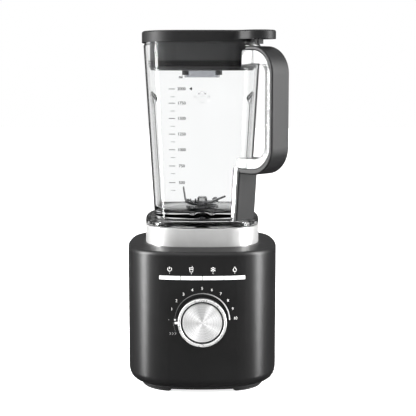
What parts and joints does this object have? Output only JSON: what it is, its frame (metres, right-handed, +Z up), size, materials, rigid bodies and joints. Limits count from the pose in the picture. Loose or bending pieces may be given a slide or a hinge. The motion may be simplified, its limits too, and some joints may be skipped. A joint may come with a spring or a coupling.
{
  "type": "countertop blender",
  "caption": "Square matte motor base with a front speed dial and push keys, and a tapered clear jar with a corner handle, flat lid and centre cap.",
  "frame": {"origin": "on the drive axis, at the level the feet stand on", "axes": "+Z up along the drive axis; the front with the dial and keys looks along -Y; the jar's handle points at the corner between +X and -Y"},
  "size_m": [0.1923, 0.2015, 0.4305],
  "materials": {
    "housing_black": "soft matte moulding",
    "cover_black": "matte moulding",
    "screw_steel": "zinc plated",
    "rubber_black": "matte",
    "collar_silver": "bead blasted",
    "pad_black": "matte",
    "key_silver": "satin silver",
    "switch_black": "moulded",
    "board_green": "lacquered laminate",
    "encoder_metal": "plated",
    "knob_black": "satin",
    "knob_silver": "satin",
    "knob_face_spun": "spun",
    "mark_white": "printed white",
    "shaft_steel": "ground",
    "fan_plastic": "moulded",
    "cast_aluminium": "as cast",
    "bearing_steel": "ground",
    "laminated_steel": "stacked laminations",
    "copper_wire": "enamelled copper winding",
    "commutator_copper": "turned copper",
    "carbon": "pressed carbon",
    "brass_holder": "folded",
    "gear_black": "glass filled nylon",
    "jar_clear": "clear copolyester",
    "grip_black": "soft touch",
    "carrier_steel": "satin",
    "blade_steel": "ground edges",
    "lid_grey": "matte moulding",
    "gasket_grey": "silicone",
    "cap_clear": "smoked clear"
  },
  "bodies": {
    "base": {"base_housing": "housing_black", "bottom_cover": "cover_black", "bottom_screws": "screw_steel", "rubber_feet": "rubber_black", "base_collar": "collar_silver", "jar_pad": "pad_black", "button_switches": "switch_black", "control_board": "board_green", "board_screws": "screw_steel", "speed_encoder": "encoder_metal", "encoder_nut": "screw_steel", "fan_shroud": "fan_plastic", "motor_lower_bracket": "cast_aluminium", "motor_upper_bracket": "cast_aluminium", "motor_bearings": "bearing_steel", "field_stator": "laminated_steel", "field_coils": "copper_wire", "carbon_brushes": "carbon", "brush_holders": "brass_holder", "brush_springs": "shaft_steel", "motor_tie_bolts": "screw_steel", "motor_mount_grommets": "rubber_black", "motor_mount_screws": "screw_steel", "power_board": "board_green", "heat_sink": "cast_aluminium", "cord_gland": "rubber_black"},
    "power_key": {"button_power": "key_silver"},
    "smoothie_key": {"button_smoothie": "key_silver"},
    "ice_crush_key": {"button_ice_crush": "key_silver"},
    "clean_key": {"button_clean": "key_silver"},
    "knob": {"knob_shaft": "encoder_metal", "knob_body": "knob_black", "knob_ring": "knob_silver", "knob_face": "knob_face_spun", "knob_pointer": "mark_white"},
    "rotor": {"motor_shaft": "shaft_steel", "cooling_fan": "fan_plastic", "armature_core": "laminated_steel", "armature_windings": "copper_wire", "commutator": "commutator_copper", "drive_gear": "gear_black", "shaft_slinger": "rubber_black"},
    "jar": {"jar_vessel": "jar_clear", "handle_grip": "grip_black", "blade_carrier": "carrier_steel", "carrier_nut": "gear_black", "blade_bearings": "bearing_steel", "shaft_seal": "rubber_black"},
    "blades": {"blade_shaft": "shaft_steel", "drive_socket": "gear_black", "blade_lower": "blade_steel", "blade_upper": "blade_steel", "blade_spacer": "shaft_steel", "blade_nut": "shaft_steel"},
    "lid": {"lid_cover": "lid_grey", "lid_plug": "lid_grey", "lid_gasket": "gasket_grey"},
    "cap": {"center_cap": "cap_clear", "cap_gasket": "gasket_grey"}
  },
  "joints": [
    {"name": "power_key_press", "type": "slide", "parent": "base", "child": "power_key", "axis": [0, 1, 0], "range_m": [0, 0.001], "stiffness_N_per_m": 450, "springref_m": -0.001},
    {"name": "smoothie_key_press", "type": "slide", "parent": "base", "child": "smoothie_key", "axis": [0, 1, 0], "range_m": [0, 0.001], "stiffness_N_per_m": 450, "springref_m": -0.001},
    {"name": "ice_crush_key_press", "type": "slide", "parent": "base", "child": "ice_crush_key", "axis": [0, 1, 0], "range_m": [0, 0.001], "stiffness_N_per_m": 450, "springref_m": -0.001},
    {"name": "clean_key_press", "type": "slide", "parent": "base", "child": "clean_key", "axis": [0, 1, 0], "range_m": [0, 0.001], "stiffness_N_per_m": 450, "springref_m": -0.001},
    {"name": "knob_turn", "type": "hinge", "parent": "base", "child": "knob", "pos_m": [0, -0.1, 0.0916], "axis": [0, 1, 0], "range_deg": [-28, 175]},
    {"name": "motor_spin", "type": "hinge", "parent": "base", "child": "rotor", "pos_m": [0, 0, 0.1], "axis": [0, 0, 1], "continuous": true},
    {"name": "jar_lift", "type": "slide", "parent": "base", "child": "jar", "axis": [0, 0, 1], "range_m": [0, 0.06]},
    {"name": "blade_spin", "type": "hinge", "parent": "jar", "child": "blades", "pos_m": [0, 0, 0.21], "axis": [0, 0, 1], "continuous": true},
    {"name": "lid_lift", "type": "slide", "parent": "jar", "child": "lid", "axis": [0, 0, 1], "range_m": [0, 0.08]},
    {"name": "cap_lift", "type": "slide", "parent": "lid", "child": "cap", "axis": [0, 0, 1], "range_m": [0, 0.06]}
  ],
  "couplings": [
    {"joint": "blade_spin", "follows": "motor_spin", "ratio": 1}
  ]
}
